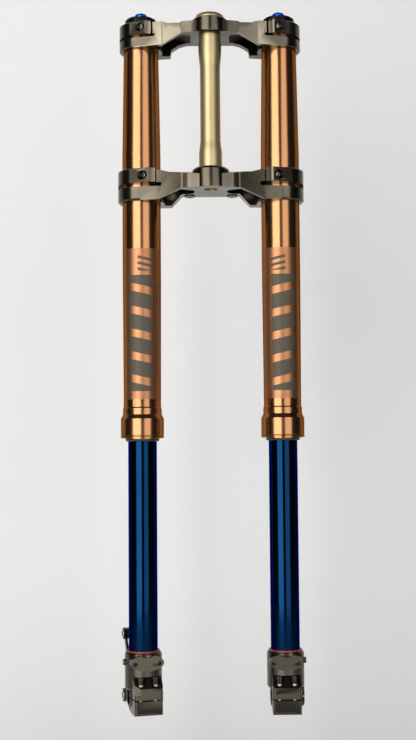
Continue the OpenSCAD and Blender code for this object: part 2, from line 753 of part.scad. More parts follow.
at_leg(RIGHT) guide_bush();  // right_guide_bush
at_lower_leg(LEFT) inner_tube();  // left_inner_tube
at_lower_leg(RIGHT) inner_tube();  // right_inner_tube
at_lug(LEFT) axle_lug(LEFT);  // left_axle_lug
at_lug(RIGHT) axle_lug(RIGHT);  // right_axle_lug
at_lug(LEFT) lug_ring();  // left_lug_ring
at_lug(RIGHT) lug_ring();  // right_lug_ring
at_lug(LEFT) axle_bolts();  // left_axle_bolts
at_lug(RIGHT) axle_bolts();  // right_axle_bolts
at_lower_leg(LEFT) damper_tube();  // left_damper_tube
at_lower_leg(RIGHT) damper_tube();  // right_damper_tube
at_lower_leg(LEFT) damper_head();  // left_damper_head
at_lower_leg(RIGHT) damper_head();  // right_damper_head
at_lower_leg(LEFT) damper_foot();  // left_damper_foot
at_lower_leg(RIGHT) damper_foot();  // right_damper_foot
at_lug(LEFT) caliper_bushes();  // left_caliper_bushes
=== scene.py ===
"""Upside-down motorcycle fork: the shown pieces, their finishes and the studio.

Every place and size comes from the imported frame. Lengths are in metres unless a
name ends in _mm.
"""

import json
import logging
import math
from collections.abc import Sequence
from dataclasses import dataclass, field
from enum import Enum

import bpy
from mathutils import Matrix, Vector

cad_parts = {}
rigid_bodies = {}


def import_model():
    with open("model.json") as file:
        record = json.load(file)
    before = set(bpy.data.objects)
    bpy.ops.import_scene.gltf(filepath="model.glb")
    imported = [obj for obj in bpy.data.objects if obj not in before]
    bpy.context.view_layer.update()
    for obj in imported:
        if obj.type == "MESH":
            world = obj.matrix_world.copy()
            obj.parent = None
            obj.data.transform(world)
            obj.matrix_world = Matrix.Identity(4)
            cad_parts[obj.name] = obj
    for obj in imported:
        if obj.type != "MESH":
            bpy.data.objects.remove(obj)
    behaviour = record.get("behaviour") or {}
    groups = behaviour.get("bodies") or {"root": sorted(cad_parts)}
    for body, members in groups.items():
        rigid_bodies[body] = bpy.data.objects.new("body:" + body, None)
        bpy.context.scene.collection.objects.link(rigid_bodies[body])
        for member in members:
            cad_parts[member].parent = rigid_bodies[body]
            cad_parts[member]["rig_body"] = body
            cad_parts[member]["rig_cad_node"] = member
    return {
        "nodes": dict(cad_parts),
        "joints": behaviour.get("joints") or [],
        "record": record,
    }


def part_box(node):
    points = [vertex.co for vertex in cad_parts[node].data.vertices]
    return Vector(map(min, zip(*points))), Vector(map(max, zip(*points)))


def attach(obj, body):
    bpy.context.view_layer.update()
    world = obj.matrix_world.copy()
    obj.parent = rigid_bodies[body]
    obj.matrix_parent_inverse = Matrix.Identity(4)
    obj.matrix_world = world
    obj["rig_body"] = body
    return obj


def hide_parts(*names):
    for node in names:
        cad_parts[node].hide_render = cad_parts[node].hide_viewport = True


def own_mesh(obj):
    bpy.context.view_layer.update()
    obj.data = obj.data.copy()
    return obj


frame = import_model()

log = logging.getLogger("fork")

MM = 0.001
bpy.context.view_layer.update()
CHASSIS = "clamps_and_outer_tubes"

Outline = Sequence[tuple[float, float]]

# Cloudy unevenness of a dyed or cast surface: how many clouds fit in a metre.
DYE_CLOUDS = 18.0
CASTING_CLOUDS = 25.0


class Side(Enum):
    """The two legs, by the sign of X."""

    LEFT = "left"
    RIGHT = "right"

    @property
    def sign(self) -> int:
        """-1 on the left and 1 on the right."""
        return -1 if self is Side.LEFT else 1

    def node(self, part: str) -> str:
        """Name of this side's CAD node for a part."""
        return f"{self.value}_{part}"


# ---- Working with Blender ---------------------------------------------------


def deselect() -> None:
    """Leaves nothing selected, in object mode."""
    if bpy.context.object and bpy.context.object.mode != "OBJECT":
        bpy.ops.object.mode_set(mode="OBJECT")
    bpy.ops.object.select_all(action="DESELECT")


def activate(piece: bpy.types.Object) -> None:
    """Selects one object alone and makes it active."""
    deselect()
    piece.select_set(True)
    bpy.context.view_layer.objects.active = piece


def settle(piece: bpy.types.Object) -> None:
    """Puts an object's place into its mesh, so that it sits at the origin."""
    activate(piece)
    bpy.ops.object.transform_apply(location=True, rotation=True, scale=True)


def apply_modifier(piece: bpy.types.Object, kind: str, **settings: object) -> None:
    """Adds a modifier and applies it.

    Args:
        piece: The object that gets it.
        kind: The modifier's type.
        **settings: Values for the modifier's own fields.
    """
    activate(piece)
    modifier = piece.modifiers.new(kind.title(), kind)
    for name, value in settings.items():
        setattr(modifier, name, value)
    bpy.ops.object.modifier_apply(modifier=modifier.name)


def round_edges(piece: bpy.types.Object, width_mm: float, segments: int = 2, angle: float = 30) -> None:
    """Rounds the sharp edges, so that they catch the light.

    Args:
        piece: The object to round.
        width_mm: Width of the rounding.
        segments: Steps across it.
        angle: Only edges sharper than this, in degrees, are rounded.
    """
    apply_modifier(piece, "BEVEL", width=width_mm * MM, segments=segments,
                   limit_method="ANGLE", angle_limit=math.radians(angle),
                   use_clamp_overlap=True, miter_outer="MITER_ARC")


def smooth(piece: bpy.types.Object, angle: float = 32) -> None:
    """Smooth shading across edges flatter than an angle in degrees."""
    activate(piece)
    bpy.ops.object.shade_smooth_by_angle(angle=math.radians(angle))
    apply_modifier(piece, "WEIGHTED_NORMAL", weight=100, keep_sharp=True)


def turned(name: str, outline: Outline, axis: Vector, steps: int = 144) -> bpy.types.Object:
    """Turns an outline about an upright axis, as on a lathe.

    A circle is extruded and resized from one point of the outline to the next. An
    outline that ends where it starts gives a closed tube, and any other a solid.

    Args:
        name: Name of the piece.
        outline: Points of radius and height.
        axis: A point on the axis.
        steps: Sides of the round.

    Returns:
        The finished piece, at the origin.
    """
    is_tube = outline[0] == outline[-1]
    deselect()
    bpy.ops.mesh.primitive_circle_add(
        vertices=steps, radius=outline[0][0], fill_type="NOTHING" if is_tube else "NGON",
        location=(axis.x, axis.y, outline[0][1]))
    piece = bpy.context.object
    piece.name = piece.data.name = name
    settle(piece)
    bpy.ops.object.mode_set(mode="EDIT")
    bpy.ops.mesh.select_mode(type="EDGE")
    bpy.ops.mesh.select_all(action="SELECT")
    for (r0, z0), (r1, z1) in zip(outline, outline[1:]):
        bpy.ops.mesh.extrude_region_move(TRANSFORM_OT_translate={"value": (0, 0, z1 - z0)})
        bpy.ops.transform.resize(value=(r1 / r0, r1 / r0, 1), center_override=(axis.x, axis.y, z1))
    bpy.ops.mesh.select_all(action="SELECT")
    bpy.ops.mesh.remove_doubles(threshold=1e-6)
    bpy.ops.mesh.normals_make_consistent(inside=False)
    bpy.ops.object.mode_set(mode="OBJECT")
    return piece


def from_frame(name: str, node_name: str) -> bpy.types.Object:
    """Copies a CAD node's shape into a new piece with merged points and flat faces.

    Args:
        name: Name of the piece.
        node_name: The CAD node that it starts from.

    Returns:
        The copy, ready for its edges to be rounded.
    """
    activate(frame["nodes"][node_name])
    bpy.ops.object.duplicate()
    piece = bpy.context.object
    piece.parent = None
    piece.name = piece.data.name = name
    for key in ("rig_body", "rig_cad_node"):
        del piece[key]
    activate(piece)
    bpy.ops.mesh.customdata_custom_splitnormals_clear()
    bpy.ops.object.mode_set(mode="EDIT")
    bpy.ops.mesh.select_all(action="SELECT")
    bpy.ops.mesh.remove_doubles(threshold=2e-6)
    bpy.ops.mesh.dissolve_limited(angle_limit=math.radians(0.4))
    bpy.ops.object.mode_set(mode="OBJECT")
    return piece


def place(piece: bpy.types.Object, finish: bpy.types.Material, body: str, *nodes: str) -> None:
    """Dresses a piece, lets it ride on a body and lets it stand for its CAD nodes.

    Args:
        piece: The finished piece.
        finish: Its material.
        body: The CAD body that it moves with.
        *nodes: The CAD nodes that it replaces.
    """
    piece.data.materials.clear()
    piece.data.materials.append(finish)
    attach(piece, body)
    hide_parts(*nodes)
    log.info("%s: %d faces", piece.name, len(piece.data.polygons))


SLOT_OF = {part["node"]: part["material_slot"] for part in frame["record"]["subparts"]}


def axis_of(node_name: str) -> Vector:
    """Point on the upright axis of a turned CAD node, at its middle height."""
    low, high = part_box(node_name)
    return (low + high) / 2


# ---- Finishes -----------------------------------------------------------------


def srgb(hex_colour: str) -> tuple[float, float, float, float]:
    """Linear RGBA of an sRGB hex colour such as "#8a5f48"."""
    values = [int(hex_colour[i:i + 2], 16) / 255 for i in (1, 3, 5)]
    linear = [v / 12.92 if v <= 0.04045 else ((v + 0.055) / 1.055) ** 2.4 for v in values]
    return (*linear, 1.0)


def add_node(tree: bpy.types.NodeTree, kind: str, inputs: dict | None = None,
             **settings: object) -> bpy.types.Node:
    """Adds one node with its settings, input values and links.

    Args:
        tree: The tree that gets the node.
        kind: The node's type, without the "ShaderNode" before it.
        inputs: For each input, by name or number, a value or a socket to link.
        **settings: Values for the node's own fields.

    Returns:
        The new node.
    """
    new = tree.nodes.new("ShaderNode" + kind)
    for name, value in settings.items():
        setattr(new, name, value)
    for key, value in (inputs or {}).items():
        if isinstance(value, bpy.types.NodeSocket):
            tree.links.new(value, new.inputs[key])
        else:
            new.inputs[key].default_value = value
    return new


def sum_of(tree: bpy.types.NodeTree, operation: str, a: object, b: object = 0.0) -> bpy.types.NodeSocket:
    """Result of one arithmetic step on two values or sockets."""
    return add_node(tree, "Math", {0: a, 1: b}, operation=operation).outputs[0]


def between(tree: bpy.types.NodeTree, value: object, low: float, high: float) -> bpy.types.NodeSocket:
    """1 where a value lies between two limits, and 0 elsewhere."""
    above = sum_of(tree, "GREATER_THAN", value, low)
    return sum_of(tree, "MULTIPLY", above, sum_of(tree, "LESS_THAN", value, high))


def blend_colour(tree: bpy.types.NodeTree, factor: object, first: object,
                 second: object) -> bpy.types.NodeSocket:
    """Colour mixed from two by a factor."""
    mix = add_node(tree, "Mix", {0: factor, 6: first, 7: second}, data_type="RGBA")
    return mix.outputs[2]


@dataclass(frozen=True)
class Finish:
    """A surface finish. Each kind adds its own pattern to the same shader."""

    name: str
    colour: str
    roughness: float
    metallic: float = 1.0
    edge_tint: str = "#ffffff"

    def make(self) -> bpy.types.Material:
        """Builds the material.

        Returns:
            The material, with its pattern on the piece's own coordinates.
        """
        material = bpy.data.materials.new(self.name)
        material.use_nodes = True
        tree = material.node_tree
        shader = tree.nodes["Principled BSDF"]
        shader.inputs["Base Color"].default_value = srgb(self.colour)
        shader.inputs["Roughness"].default_value = self.roughness
        shader.inputs["Metallic"].default_value = self.metallic
        shader.inputs["Specular Tint"].default_value = srgb(self.edge_tint)
        coords = add_node(tree, "TexCoord").outputs["Object"]
        self.dress(tree, shader, coords)
        return material

    def dress(self, tree: bpy.types.NodeTree, shader: bpy.types.Node,
              coords: bpy.types.NodeSocket) -> None:
        """Adds the pattern of this kind of finish; plain finishes have none."""


def noise(tree: bpy.types.NodeTree, coords: bpy.types.NodeSocket, scale: float,
          detail: float) -> bpy.types.NodeSocket:
    """Noise from 0 to 1 on the piece's own coordinates."""
    return add_node(tree, "TexNoise", {"Vector": coords, "Scale": scale, "Detail": detail}).outputs["Fac"]


def set_colour(tree: bpy.types.NodeTree, shader: bpy.types.Node, colour: bpy.types.NodeSocket) -> None:
    """Links a colour to the shader."""
    tree.links.new(colour, shader.inputs["Base Color"])


def stretch_to(tree: bpy.types.NodeTree, pattern: bpy.types.NodeSocket,
               low: float, high: float) -> bpy.types.NodeSocket:
    """Stretches a pattern from 0 to 1 to lie between two values."""
    return add_node(tree, "MapRange", {"Value": pattern, "To Min": low, "To Max": high}).outputs[0]


def vary_roughness(tree: bpy.types.NodeTree, shader: bpy.types.Node, pattern: bpy.types.NodeSocket,
                   low: float, high: float) -> None:
    """Lets a pattern from 0 to 1 set the roughness between two values."""
    tree.links.new(stretch_to(tree, pattern, low, high), shader.inputs["Roughness"])


def grooves(tree: bpy.types.NodeTree, coords: bpy.types.NodeSocket, pitch_mm: float) -> bpy.types.NodeSocket:
    """Fine marks of a lathe tool: noise that changes along Z and hardly around it."""
    stretch = add_node(tree, "Mapping", {"Vector": coords, "Scale": (6, 6, 1 / (pitch_mm * MM))})
    return noise(tree, stretch.outputs[0], 1.0, 2.0)


def bump(tree: bpy.types.NodeTree, shader: bpy.types.Node, height: bpy.types.NodeSocket,
         strength: float, depth_mm: float) -> None:
    """Raises the surface by a pattern."""
    node = add_node(tree, "Bump", {"Height": height, "Strength": strength, "Distance": depth_mm * MM})
    tree.links.new(node.outputs[0], shader.inputs["Normal"])


@dataclass(frozen=True)
class TurnedMetal(Finish):
    """Metal turned on a lathe and anodised, coated or left bare.

    The tool's marks run round the piece. They are 0.1 mm apart on the real metal
    and are drawn wider, so that they show.
    """

    mark_pitch_mm: float = 0.9
    mark_depth_mm: float = 0.004
    spread: float = 0.05
    stain: str = ""

    def dress(self, tree: bpy.types.NodeTree, shader: bpy.types.Node,
              coords: bpy.types.NodeSocket) -> None:
        """Adds lathe marks, a little unevenness in the gloss and in the dye."""
        marks = grooves(tree, coords, self.mark_pitch_mm)
        vary_roughness(tree, shader, marks, self.roughness - self.spread, self.roughness + self.spread)
        bump(tree, shader, marks, 0.35, self.mark_depth_mm)
        clouds = noise(tree, coords, DYE_CLOUDS, 3.0)
        stain = srgb(self.stain or self.colour)
        set_colour(tree, shader, blend_colour(tree, clouds, srgb(self.colour), stain))


@dataclass(frozen=True)
class BilletMetal(Finish):
    """Machined billet, bead-blasted and hard-anodised.

    Hard anodising is dark and slightly matt; its edges are rubbed lighter by use.
    """

    worn: str = "#8f8a7b"
    stain: str = "#423f37"
    grain_mm: float = 0.6
    brush_mm: float = 1.2
    edge_starts: float = 0.53
    edge_full: float = 0.62
    edge_wear: float = 0.55

    def dress(self, tree: bpy.types.NodeTree, shader: bpy.types.Node,
              coords: bpy.types.NodeSocket) -> None:
        """Adds blasted grain, faint cutter lines and rubbed edges."""
        grain = noise(tree, coords, 1 / (self.grain_mm * MM), 2.0)
        lines = grooves(tree, coords, self.brush_mm)
        mixed = sum_of(tree, "MULTIPLY_ADD", grain, 0.5)
        height = sum_of(tree, "ADD", mixed, sum_of(tree, "MULTIPLY", lines, 0.5))
        vary_roughness(tree, shader, height, self.roughness - 0.04, self.roughness + 0.08)
        bump(tree, shader, height, 0.2, 0.008)
        pointy = add_node(tree, "NewGeometry").outputs["Pointiness"]
        edge = add_node(tree, "MapRange", {"Value": pointy, "From Min": self.edge_starts,
                                           "From Max": self.edge_full, "To Max": self.edge_wear})
        clouds = noise(tree, coords, CASTING_CLOUDS, 4.0)
        body = blend_colour(tree, clouds, srgb(self.colour), srgb(self.stain))
        set_colour(tree, shader, blend_colour(tree, edge.outputs[0], body, srgb(self.worn)))


@dataclass(frozen=True)
class MouldedRubber(Finish):
    """Nitrile rubber as moulded: nearly black, dull, with a fine texture."""

    grain_mm: float = 0.5

    def dress(self, tree: bpy.types.NodeTree, shader: bpy.types.Node,
              coords: bpy.types.NodeSocket) -> None:
        """Adds the mould's texture and dust in its hollows."""
        grain = noise(tree, coords, 1 / (self.grain_mm * MM), 3.0)
        vary_roughness(tree, shader, grain, self.roughness - 0.1, self.roughness + 0.1)
        bump(tree, shader, grain, 0.3, 0.05)
        set_colour(tree, shader, blend_colour(tree, grain, srgb(self.colour), srgb("#2c2c2d")))


@dataclass(frozen=True)
class GraphicTube(TurnedMetal):
    """Outer tube: polished copper anodising with a satin band and dark bars.

    The band is blasted before anodising, so it is the same colour but dull. It
    covers the inboard side and ends in front at band_from degrees.
    """

    centre: tuple[float, float] = (0.0, 0.0)
    inboard: int = 1
    radius: float = 0.029
    band_top: float = -0.119
    band_bottom: float = -0.344
    band_from: float = -51.0
    band_to: float = 150.0
    bar_pitch: float = 0.034
    bar_share: float = 0.66
    bar_from: float = -38.0
    bar_to: float = 34.0
    slant: float = 0.22
    tick_pitch: float = 0.009
    tick_share: float = 0.45
    tick_from: float = -10.0
    line_from: float = 52.0
    line_to: float = 58.0
    satin_colour: str = "#94694d"
    satin_share: float = 0.5
    satin_roughness: float = 0.40
    satin_spread: float = 0.06
    print_colour: str = "#45443f"
    print_roughness: float = 0.5
    print_dulling: float = 0.6

    def dress(self, tree: bpy.types.NodeTree, shader: bpy.types.Node,
              coords: bpy.types.NodeSocket) -> None:
        """Adds the band and its bars to the turned metal."""
        split = add_node(tree, "SeparateXYZ", {0: coords})
        sideways = sum_of(tree, "SUBTRACT", split.outputs[0], self.centre[0])
        across = sum_of(tree, "MULTIPLY", sideways, self.inboard)
        ahead = sum_of(tree, "SUBTRACT", self.centre[1], split.outputs[1])
        turn = sum_of(tree, "DEGREES", sum_of(tree, "ARCTAN2", across, ahead))
        height = split.outputs[2]
        in_band = sum_of(tree, "MULTIPLY", between(tree, height, self.band_bottom, self.band_top),
                         between(tree, turn, self.band_from, self.band_to))
        print_mask = sum_of(tree, "MULTIPLY", in_band, self.print_mask(tree, turn, height))

        marks = grooves(tree, coords, self.mark_pitch_mm)
        gloss = stretch_to(tree, marks, self.roughness - self.spread, self.roughness + self.spread)
        satin = stretch_to(tree, marks, self.satin_roughness - self.satin_spread,
                           self.satin_roughness + self.satin_spread)
        rough = add_node(tree, "Mix", {0: in_band, 2: gloss, 3: satin}, data_type="FLOAT").outputs[0]
        rough = add_node(tree, "Mix", {0: print_mask, 2: rough, 3: self.print_roughness},
                         data_type="FLOAT").outputs[0]
        tree.links.new(rough, shader.inputs["Roughness"])
        bump(tree, shader, marks, 0.35, self.mark_depth_mm)

        clouds = noise(tree, coords, DYE_CLOUDS, 3.0)
        metal = blend_colour(tree, clouds, srgb(self.colour), srgb(self.stain or self.colour))
        satin_mask = sum_of(tree, "MULTIPLY", in_band, self.satin_share)
        metal = blend_colour(tree, satin_mask, metal, srgb(self.satin_colour))
        set_colour(tree, shader, blend_colour(tree, print_mask, metal, srgb(self.print_colour)))
        shine = sum_of(tree, "SUBTRACT", 1.0, sum_of(tree, "MULTIPLY", print_mask, self.print_dulling))
        tree.links.new(shine, shader.inputs["Metallic"])

    def print_mask(self, tree: bpy.types.NodeTree, turn: bpy.types.NodeSocket,
                   height: bpy.types.NodeSocket) -> bpy.types.NodeSocket:
        """Mask of the printed bars: slanted blocks, short ticks and a thin side line.

        Args:
            tree: The material's tree.
            turn: Degrees round the tube from its front, positive inboard.
            height: Height of the point.

        Returns:
            A socket that is 1 on the print.
        """
        arc = sum_of(tree, "MULTIPLY", sum_of(tree, "RADIANS", turn), self.radius)
        slid = sum_of(tree, "ADD", height, sum_of(tree, "MULTIPLY", arc, self.slant))
        step = sum_of(tree, "FRACT", sum_of(tree, "DIVIDE", sum_of(tree, "SUBTRACT", slid, self.band_bottom),
                                            self.bar_pitch))
        blocks = sum_of(tree, "MULTIPLY", sum_of(tree, "LESS_THAN", step, self.bar_share),
                        between(tree, turn, self.bar_from, self.bar_to))
        blocks = sum_of(tree, "MULTIPLY", blocks, between(tree, height, self.band_bottom + 0.012,
                                                          self.band_top - 0.04))
        fine = sum_of(tree, "FRACT", sum_of(tree, "DIVIDE", slid, self.tick_pitch))
        ticks = sum_of(tree, "MULTIPLY", sum_of(tree, "LESS_THAN", fine, self.tick_share),
                       between(tree, turn, self.tick_from, self.bar_to))
        ticks = sum_of(tree, "MULTIPLY", ticks, between(tree, height, self.band_top - 0.034,
                                                        self.band_top - 0.01))
        line = sum_of(tree, "MULTIPLY", between(tree, turn, self.line_from, self.line_to),
                      between(tree, height, self.band_bottom + 0.03, self.band_top - 0.05))
        return sum_of(tree, "MAXIMUM", sum_of(tree, "MAXIMUM", blocks, ticks), line)


CLAMP_METAL = BilletMetal("hard_anodised_billet", "#4c483f", 0.15)
LUG_METAL = BilletMetal("hard_anodised_forging", "#37342d", 0.2, worn="#6b675c", stain="#2f2c26",
                        grain_mm=0.9)
STEM_METAL = TurnedMetal("champagne_anodised_aluminium", "#a29675", 0.46, stain="#ada180", spread=0.05)
BOLT_STEEL = TurnedMetal("zinc_plated_steel", "#c9cacc", 0.16, stain="#b9b6ad")
CAP_METAL = TurnedMetal("black_anodised_aluminium", "#141518", 0.36, stain="#1b1c1f")
KNOB_METAL = TurnedMetal("blue_anodised_aluminium", "#0f5fd6", 0.22, stain="#0a4fc0")
# Titanium-nitride family coating: nearly black face on, blue at a glancing angle.
TUBE_COATING = TurnedMetal("blue_coated_steel", "#071f3c", 0.09, edge_tint="#3a86d0", stain="#062745",
                           spread=0.02, mark_depth_mm=0.001)
COPPER_TUBE = dict(name="copper_anodised_aluminium", colour="#8e6648", roughness=0.2, stain="#946c4d",
                   spread=0.04, edge_tint="#cf9f80", mark_depth_mm=0.002)
RING_PLASTIC = MouldedRubber("red_bump_ring", "#b3261f", 0.4, metallic=0.0)
SEAL_RUBBER = MouldedRubber("nitrile_rubber", "#121213", 0.5, metallic=0.0)
GOLD_RING = TurnedMetal("gold_anodised_ring", "#c79a3c", 0.2, stain="#b98c33")
BARE_STEEL = TurnedMetal("ground_steel", "#a9abae", 0.18, stain="#9fa1a3")
SPRING_STEEL = TurnedMetal("shot_peened_spring_steel", "#6c6f72", 0.35, stain="#5c5f62")
BUSH_METAL = TurnedMetal("coated_bronze", "#8c7040", 0.35, stain="#7d6338")
TURNED_ALUMINIUM = TurnedMetal("turned_aluminium", "#b6b8ba", 0.25, stain="#a8aaac")


# ---- Sub-assemblies --------------------------------------------------------------


@dataclass
class Clamps:
    """Both clamps with their pinch bolts."""

    edge_mm: float = 0.7
    bolt_edge_mm: float = 0.35

    def build(self) -> None:
        """Makes the clamps and bolts and dresses them."""
        metal, steel = CLAMP_METAL.make(), BOLT_STEEL.make()
        for level in ("upper", "lower"):
            clamp = from_frame(f"{level}_clamp_body", f"{level}_clamp")
            round_edges(clamp, self.edge_mm)
            smooth(clamp)
            place(clamp, metal, CHASSIS, f"{level}_clamp")
            bolts = from_frame(f"{level}_pinch_bolts", f"{level}_clamp_bolts")
            round_edges(bolts, self.bolt_edge_mm)
            smooth(bolts)
            place(bolts, steel, CHASSIS, f"{level}_clamp_bolts")


@dataclass
class Stem:
    """Steering stem with its spacer and nut."""

    edge_mm: float = 0.5

    def build(self) -> None:
        """Makes the three pieces and dresses them."""
        metal = STEM_METAL.make()
        for node_name in ("steering_stem", "bearing_spacer", "stem_nut"):
            piece = from_frame(f"{node_name}_body", node_name)
            round_edges(piece, self.edge_mm)
            smooth(piece)
            place(piece, metal, CHASSIS, node_name)


@dataclass
class UpperLeg:
    """Outer tube of one leg with its cap, knob and seals."""

    side: Side
    lip_width_mm: float = 2.4
    lip_height_mm: float = 0.9
    lip_gap_mm: float = 0.2
    tube_edge_mm: float = 0.5
    tube_edge_angle: float = 20
    cap_edge_mm: float = 0.6
    knob_edge_mm: float = 0.4
    seal_edge_mm: float = 0.3

    def build(self) -> None:
        """Makes the pieces of the upper leg."""
        self.outer_tube()
        self.lip_ring()
        self.cap_and_knob()
        self.seal()

    def outer_tube(self) -> None:
        """Makes the outer tube from its CAD shape, with rounded edges."""
        node_name = self.side.node("outer_tube")
        axis = axis_of(node_name)
        tube = from_frame(f"{self.side.value}_outer_tube_body", node_name)
        round_edges(tube, self.tube_edge_mm, angle=self.tube_edge_angle)
        smooth(tube)
        finish = GraphicTube(**COPPER_TUBE, centre=(axis.x, axis.y), inboard=-self.side.sign)
        place(tube, finish.make(), CHASSIS, node_name)

    def lip_ring(self) -> None:
        """Turns the thin gold ring under the flare of the outer tube, around the seal."""
        node_name = self.side.node("dust_seal")
        low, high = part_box(node_name)
        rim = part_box(self.side.node("outer_tube"))[0].z
        inner = (high.x - low.x) / 2 + self.lip_gap_mm * MM
        outer = inner + self.lip_width_mm * MM
        foot = rim - self.lip_height_mm * MM
        outline = [(inner, rim), (outer, rim), (outer, foot), (inner, foot), (inner, rim)]
        ring = turned(f"{self.side.value}_lip_ring", outline, axis_of(node_name), 96)
        smooth(ring)
        ring.data.materials.append(GOLD_RING.make())
        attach(ring, CHASSIS)
        SLOT_OF[self.side.node("outer_tube")]

    def cap_and_knob(self) -> None:
        """Makes the black cap and the blue knob."""
        cap = from_frame(f"{self.side.value}_cap_body", self.side.node("fork_cap"))
        round_edges(cap, self.cap_edge_mm)
        smooth(cap)
        place(cap, CAP_METAL.make(), CHASSIS, self.side.node("fork_cap"))
        knob = from_frame(f"{self.side.value}_knob_body", self.side.node("adjuster_knob"))
        round_edges(knob, self.knob_edge_mm)
        smooth(knob)
        place(knob, KNOB_METAL.make(), self.side.node("knob"), self.side.node("adjuster_knob"))

    def seal(self) -> None:
        """Makes the dust seal."""
        seal = from_frame(f"{self.side.value}_dust_seal_body", self.side.node("dust_seal"))
        round_edges(seal, self.seal_edge_mm)
        smooth(seal)
        place(seal, SEAL_RUBBER.make(), CHASSIS, self.side.node("dust_seal"))


@dataclass
class LowerLeg:
    """Inner tube of one leg with its lug, ring and bolts."""

    side: Side
    edge_mm: float = 1.1
    tube_edge_mm: float = 0.3
    ring_edge_mm: float = 0.8
    bolt_edge_mm: float = 0.35
    bush_edge_mm: float = 0.3

    def build(self) -> None:
        """Makes the pieces of the lower leg."""
        body = self.side.node("lower_leg")
        finishes = {"inner_tube": (TUBE_COATING, self.tube_edge_mm),
                    "axle_lug": (LUG_METAL, self.edge_mm),
                    "lug_ring": (RING_PLASTIC, self.ring_edge_mm),
                    "axle_bolts": (BOLT_STEEL, self.bolt_edge_mm)}
        if self.side is Side.LEFT:
            finishes["caliper_bushes"] = (BOLT_STEEL, self.bush_edge_mm)
        for part, (finish, edge) in finishes.items():
            piece = from_frame(f"{self.side.value}_{part}_body", self.side.node(part))
            round_edges(piece, edge)
            smooth(piece)
            place(piece, finish.make(), body, self.side.node(part))


@dataclass
class Spring:
    """Main spring of one leg: round wire wound into a coil."""

    side: Side
    wire_mm: float = 4.4
    turns: int = 30
    wire_sides: int = 12
    steps_per_turn: int = 28

    def build(self) -> None:
        """Winds the wire into a coil and gives the spring its finish."""
        node_name = self.side.node("main_spring")
        low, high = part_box(node_name)
        axis = axis_of(node_name)
        wire = self.wire_mm * MM / 2
        mean = (high.x - low.x) / 2 - wire
        deselect()
        bpy.ops.mesh.primitive_circle_add(vertices=self.wire_sides, radius=wire, rotation=(math.pi / 2, 0, 0),
                                          location=(mean, 0, low.z + wire))
        spring = bpy.context.object
        spring.name = spring.data.name = f"{self.side.value}_spring_coil"
        settle(spring)
        rise = high.z - low.z - 2 * wire
        apply_modifier(spring, "SCREW", axis="Z", angle=2 * math.pi,
                       steps=self.steps_per_turn, render_steps=self.steps_per_turn,
                       iterations=self.turns, screw_offset=rise / self.turns, use_normal_calculate=True)
        activate(spring)
        bpy.ops.object.mode_set(mode="EDIT")
        bpy.ops.mesh.select_all(action="SELECT")
        bpy.ops.mesh.remove_doubles(threshold=1e-6)
        bpy.ops.mesh.select_all(action="DESELECT")
        bpy.ops.mesh.select_non_manifold()
        bpy.ops.mesh.fill()
        bpy.ops.mesh.select_all(action="SELECT")
        bpy.ops.mesh.normals_make_consistent(inside=False)
        bpy.ops.transform.translate(value=(axis.x, axis.y, 0))
        bpy.ops.object.mode_set(mode="OBJECT")
        smooth(spring)
        place(spring, SPRING_STEEL.make(), CHASSIS, node_name)
        travel = frame_joint(self.side.node("leg_travel"))["range_m"][1]
        self.side.node("leg_travel")
        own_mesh(spring)


def frame_joint(name: str) -> dict:
    """The frame's joint of that name."""
    return next(joint for joint in frame["joints"] if joint["name"] == name)


@dataclass
class InnerWorks:
    """Pieces sealed inside a leg, which keep their CAD shapes and get finishes."""

    side: Side
    finishes: dict[str, Finish] = field(default_factory=lambda: {
        "cap_o_ring": SEAL_RUBBER, "preload_spacer": TURNED_ALUMINIUM, "damper_rod": BARE_STEEL,
        "damper_piston": BUSH_METAL, "outer_bush": BUSH_METAL, "seal_washer": BARE_STEEL,
        "oil_seal": SEAL_RUBBER, "seal_clip": BARE_STEEL, "guide_bush": BUSH_METAL,
        "damper_tube": TURNED_ALUMINIUM, "damper_head": TURNED_ALUMINIUM,
        "damper_foot": TURNED_ALUMINIUM})

    def dress(self) -> None:
        """Gives each CAD node its finish."""
        for part, finish in self.finishes.items():
            data = frame["nodes"][self.side.node(part)].data
            data.materials.clear()
            data.materials.append(finish.make())


# ---- Studio --------------------------------------------------------------------


